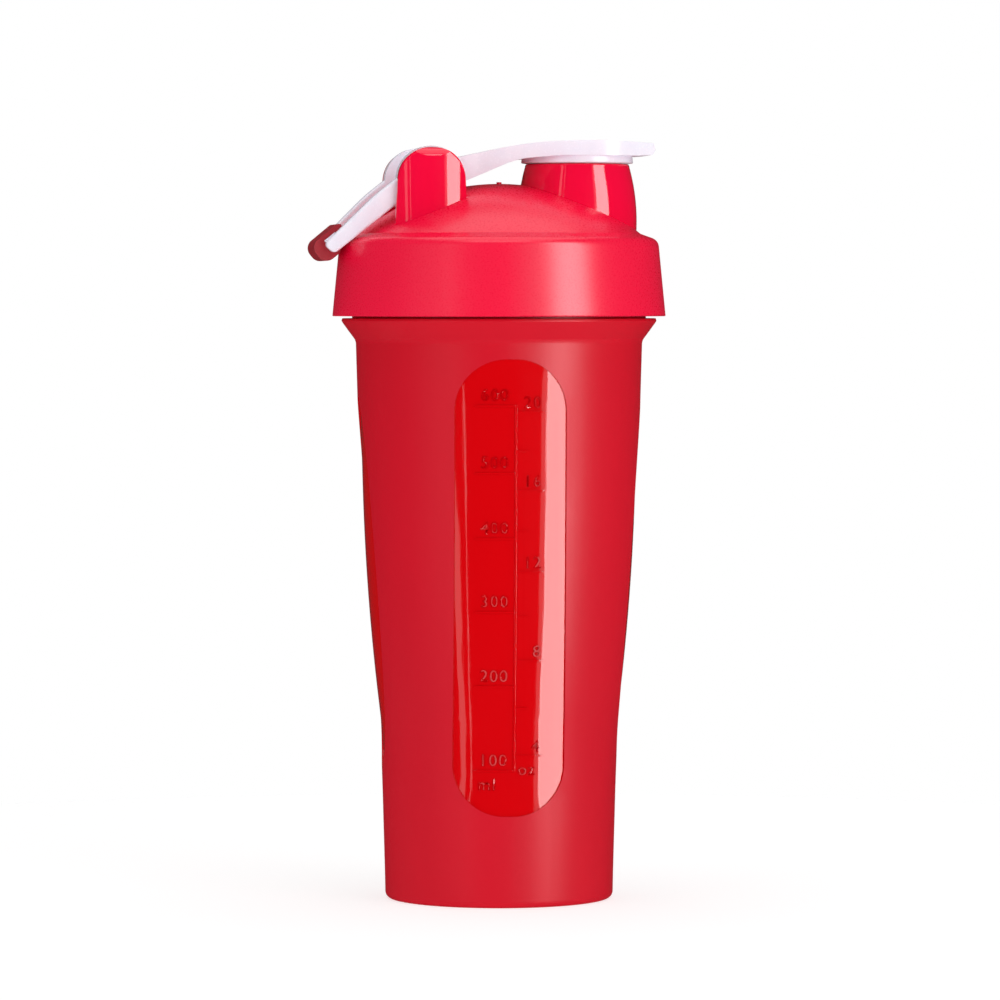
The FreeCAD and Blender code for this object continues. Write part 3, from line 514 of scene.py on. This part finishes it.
def makeSilicone():
    material, tree, shader = startMaterial("siliconeMilky")
    inMm = placeInMm(tree)
    cloud = addNode(tree, "ShaderNodeTexNoise", inputs={"Vector": inMm.outputs[0], "Scale": 0.2, "Detail": 4.0})
    colour = addNode(tree, "ShaderNodeMix", {"data_type": "RGBA"}, {
        0: cloud.outputs[0],
        6: toLinear(siliconeFinish["colour"]),
        7: toLinear(siliconeFinish["cloudColour"]),
    })
    skin = addNode(tree, "ShaderNodeTexNoise", inputs={"Vector": inMm.outputs[0], "Scale": 3.0, "Detail": 2.0})
    bump = addNode(tree, "ShaderNodeBump", inputs={"Height": skin.outputs[0], "Strength": 0.2, "Distance": 0.00005})
    tree.links.new(colour.outputs[2], shader.inputs["Base Color"])
    tree.links.new(bump.outputs[0], shader.inputs["Normal"])
    shader.inputs["Roughness"].default_value = siliconeFinish["roughness"]
    shader.inputs["IOR"].default_value = 1.41
    shader.inputs["Subsurface Weight"].default_value = 0.35
    shader.inputs["Subsurface Radius"].default_value = (0.004, 0.004, 0.004)
    shader.inputs["Subsurface Scale"].default_value = 1.0
    return material


# pin: acetal rod, dense white with a waxy skin and turning lines round it

pinFinish = {"colour": "e9e8e6", "lineColour": "d8d6d2", "roughness": 0.3, "lineMm": 0.5}


def makeAcetal():
    material, tree, shader = startMaterial("acetalNatural")
    inMm = placeInMm(tree)
    turning = addNode(tree, "ShaderNodeTexWave", {"bands_direction": "Y"},
                      {"Vector": inMm.outputs[0], "Scale": 0.31 / pinFinish["lineMm"], "Distortion": 0.4})
    colour = addNode(tree, "ShaderNodeMix", {"data_type": "RGBA"}, {
        0: turning.outputs[1],
        6: toLinear(pinFinish["colour"]),
        7: toLinear(pinFinish["lineColour"]),
    })
    bump = addNode(tree, "ShaderNodeBump", inputs={"Height": turning.outputs[1], "Strength": 0.2,
                                                   "Distance": 0.00004})
    tree.links.new(colour.outputs[2], shader.inputs["Base Color"])
    tree.links.new(bump.outputs[0], shader.inputs["Normal"])
    shader.inputs["Roughness"].default_value = pinFinish["roughness"]
    shader.inputs["IOR"].default_value = 1.48
    return material


# whisk ball: drawn stainless wire, bright with faint die lines and a few duller rubbed places

wireFinish = {"colour": "c9c8c5", "dullColour": "a9a8a6", "roughness": 0.2}


def makeWireSteel():
    material, tree, shader = startMaterial("stainlessDrawnWire")
    inMm = placeInMm(tree)
    rubbed = addNode(tree, "ShaderNodeTexNoise", inputs={"Vector": inMm.outputs[0], "Scale": 0.3, "Detail": 5.0})
    colour = addNode(tree, "ShaderNodeMix", {"data_type": "RGBA"}, {
        0: rubbed.outputs[0],
        6: toLinear(wireFinish["colour"]),
        7: toLinear(wireFinish["dullColour"]),
    })
    roughness = addNode(tree, "ShaderNodeMapRange", inputs={
        "Value": rubbed.outputs[0], "From Min": 0.35, "From Max": 0.65,
        "To Min": wireFinish["roughness"] - 0.05, "To Max": wireFinish["roughness"] + 0.12,
    })
    lines = addNode(tree, "ShaderNodeTexNoise", inputs={"Vector": inMm.outputs[0], "Scale": 4.0, "Detail": 1.0})
    bump = addNode(tree, "ShaderNodeBump", inputs={"Height": lines.outputs[0], "Strength": 0.15,
                                                   "Distance": 0.00004})
    tree.links.new(colour.outputs[2], shader.inputs["Base Color"])
    tree.links.new(roughness.outputs[0], shader.inputs["Roughness"])
    tree.links.new(bump.outputs[0], shader.inputs["Normal"])
    shader.inputs["Metallic"].default_value = 1.0
    return material


cupPlastic = makeCupPlastic()
lidPlastic = makeLidPlastic()
whitePlastic = makeWhitePlastic()
gripRubber = makeGripRubber()
silicone = makeSilicone()
acetal = makeAcetal()
wireSteel = makeWireSteel()

finishes = {
    "cup": cupPlastic,
    "lid": lidPlastic,
    "flip_cap": whitePlastic,
    "carry_loop": whitePlastic,
    "loop_grip": gripRubber,
    "lid_gasket": silicone,
    "spout_seal": silicone,
    "hinge_pin": acetal,
    "whisk_ball": wireSteel,
}
for nodeName, material in finishes.items():
    paint(nodes[nodeName], material)
print("materials done")


# scale: fine raised lines and figures moulded in the window, millilitres left and ounces right

scale = {
    "proud": 0.36,
    "sunk": 0.08,
    "soft": 0.2,
    "lineWide": 0.55,
    "spineX": 1.35,
    "leftX": -10.4,
    "longX": 9.8,
    "tickX": 5.15,
    "figureTall": 3.5,
    "mlLift": 1.5,
    "ozLift": 1.1,
    "mlFigureX": -0.7,
    "ozFigureX": 8.9,
    "millilitres": {"600": 147.0, "500": 127.4, "400": 108.4, "300": 87.0, "200": 65.2, "100": 40.4},
    "ounces": {"20": 145.3, "16": 122.4, "12": 98.7, "8": 72.8, "4": 44.8},
    "unitDrop": 5.6,
    "mlUnitShift": 3.2,
    "ozUnitShift": 1.4,
    "startY": -70.0,
    "capitalShare": 0.7,
    "spacing": 1.12,
    "thinning": 0.004,
    "lineCuts": 12,
}


def addLine(fromX, toX, fromZ, toZ):
    # a flat strip that faces the window, cut along its length so that it can follow the curve
    deselectAll()
    middle = ((fromX + toX) / 2 * mm, scale["startY"] * mm, (fromZ + toZ) / 2 * mm)
    bpy.ops.mesh.primitive_plane_add(size=1, location=middle, rotation=(math.pi / 2, 0, 0))
    strip = bpy.context.object
    strip.scale = ((toX - fromX) * mm, (toZ - fromZ) * mm, 1)
    bpy.ops.object.transform_apply(location=False, rotation=True, scale=True)
    bpy.ops.object.mode_set(mode="EDIT")
    bpy.ops.mesh.select_all(action="SELECT")
    bpy.ops.mesh.subdivide(number_cuts=scale["lineCuts"])
    bpy.ops.object.mode_set(mode="OBJECT")
    return strip


def addFigure(text, rightX, z):
    deselectAll()
    bpy.ops.object.text_add(location=(rightX * mm, scale["startY"] * mm, z * mm), rotation=(math.pi / 2, 0, 0))
    figure = bpy.context.object
    figure.data.body = text
    figure.data.align_x = "RIGHT"
    figure.data.size = scale["figureTall"] * mm / scale["capitalShare"]
    figure.data.space_character = scale["spacing"]
    figure.data.resolution_u = 4
    figure.data.offset = -scale["thinning"] * figure.data.size
    bpy.ops.object.convert(target="MESH")
    return figure


def pressOnCup(piece):
    # laid on the window along -Y to +Y, then turned with the cup's clocking about the axis
    applyPlace(piece)
    piece.rotation_euler = (0, 0, math.radians(cupFinish["clocking"]))
    bpy.context.view_layer.update()
    wrap = piece.modifiers.new("wrap", "SHRINKWRAP")
    wrap.wrap_method = "PROJECT"
    wrap.use_project_x = False
    wrap.use_project_y = True
    wrap.use_project_z = False
    wrap.use_positive_direction = True
    wrap.use_negative_direction = False
    wrap.target = nodes["cup"]
    wrap.offset = -scale["sunk"] * mm
    thick = piece.modifiers.new("thick", "SOLIDIFY")
    thick.thickness = (scale["proud"] + scale["sunk"]) * mm
    thick.offset = 1.0
    soft = piece.modifiers.new("soft", "BEVEL")
    soft.width = scale["soft"] * mm
    soft.segments = 2
    soft.limit_method = "ANGLE"
    soft.angle_limit = math.radians(50)
    applyModifiers(piece)
    applyPlace(piece)


def makeScale():
    half = scale["lineWide"] / 2
    marks = [addLine(scale["spineX"] - half, scale["spineX"] + half,
                     scale["millilitres"]["100"] - half, scale["millilitres"]["600"] + half)]
    figures = []
    for text, level in scale["millilitres"].items():
        marks.append(addLine(scale["leftX"], scale["spineX"] - half, level - half, level + half))
        figures.append(addFigure(text, scale["mlFigureX"], level + scale["mlLift"]))
    for text, level in scale["ounces"].items():
        marks.append(addLine(scale["spineX"] + half, scale["longX"], level - half, level + half))
        figures.append(addFigure(text, scale["ozFigureX"], level + scale["ozLift"]))
    # a short tick halfway between each two ounce lines
    levels = list(scale["ounces"].values())
    for upper, lower in zip(levels, levels[1:]):
        level = (upper + lower) / 2
        marks.append(addLine(scale["spineX"] + half, scale["tickX"], level - half, level + half))
    figures.append(addFigure("ml", scale["mlFigureX"] - scale["mlUnitShift"],
                             scale["millilitres"]["100"] - scale["unitDrop"]))
    figures.append(addFigure("oz", scale["ozFigureX"] - scale["ozUnitShift"],
                             scale["ounces"]["4"] - scale["unitDrop"]))
    for name, parts in (("scale_lines", marks), ("scale_figures", figures)):
        piece = joinPieces(parts, name)
        pressOnCup(piece)
        paint(piece, cupPlastic)
        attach(piece, "cup_body")


makeScale()
print("scale done")
